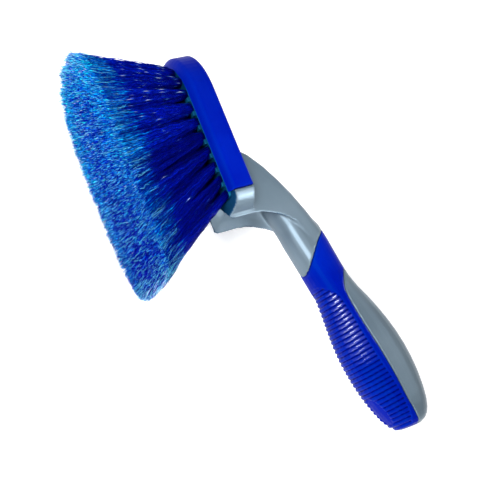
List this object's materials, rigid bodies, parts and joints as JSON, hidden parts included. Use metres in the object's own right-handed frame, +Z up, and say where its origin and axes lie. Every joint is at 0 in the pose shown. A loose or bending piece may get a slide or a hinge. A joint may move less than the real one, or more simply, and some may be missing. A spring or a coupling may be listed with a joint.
{
  "type": "pool wall brush",
  "caption": "Short-handled scrubbing brush with an oblong fanned bristle head, an arched neck and a ribbed soft grip.",
  "frame": {"origin": "middle of the underside of the whole brush's bounding box, with the brush lying on its side", "axes": "+X along the brush block from its free end towards the handle's butt; +Y from the bristle tips towards the back of the block; +Z up across the brush"},
  "size_m": [0.2538, 0.132, 0.0632],
  "materials": {
    "grey_plastic": "satin",
    "blue_rubber": "satin",
    "bristle": "satin filament, paler frayed tips",
    "anchor_metal": "bright"
  },
  "bodies": {
    "root": {"handle_body": "grey_plastic", "grip_overmould": "blue_rubber", "head_bumper": "blue_rubber", "tufts_near_outer": "bristle", "tufts_near_inner": "bristle", "tufts_far_inner": "bristle", "tufts_far_outer": "bristle", "tuft_anchor_01": "anchor_metal", "tuft_anchor_02": "anchor_metal", "tuft_anchor_03": "anchor_metal", "tuft_anchor_04": "anchor_metal", "tuft_anchor_05": "anchor_metal", "tuft_anchor_06": "anchor_metal", "tuft_anchor_07": "anchor_metal", "tuft_anchor_08": "anchor_metal", "tuft_anchor_09": "anchor_metal", "tuft_anchor_10": "anchor_metal", "tuft_anchor_11": "anchor_metal", "tuft_anchor_12": "anchor_metal", "tuft_anchor_13": "anchor_metal", "tuft_anchor_14": "anchor_metal", "tuft_anchor_15": "anchor_metal", "tuft_anchor_16": "anchor_metal", "tuft_anchor_17": "anchor_metal", "tuft_anchor_18": "anchor_metal", "tuft_anchor_19": "anchor_metal", "tuft_anchor_20": "anchor_metal", "tuft_anchor_21": "anchor_metal", "tuft_anchor_22": "anchor_metal", "tuft_anchor_23": "anchor_metal", "tuft_anchor_24": "anchor_metal", "tuft_anchor_25": "anchor_metal", "tuft_anchor_26": "anchor_metal", "tuft_anchor_27": "anchor_metal", "tuft_anchor_28": "anchor_metal", "tuft_anchor_29": "anchor_metal", "tuft_anchor_30": "anchor_metal", "tuft_anchor_31": "anchor_metal", "tuft_anchor_32": "anchor_metal", "tuft_anchor_33": "anchor_metal", "tuft_anchor_34": "anchor_metal", "tuft_anchor_35": "anchor_metal", "tuft_anchor_36": "anchor_metal", "tuft_anchor_37": "anchor_metal", "tuft_anchor_38": "anchor_metal", "tuft_anchor_39": "anchor_metal", "tuft_anchor_40": "anchor_metal"}
  },
  "joints": []
}
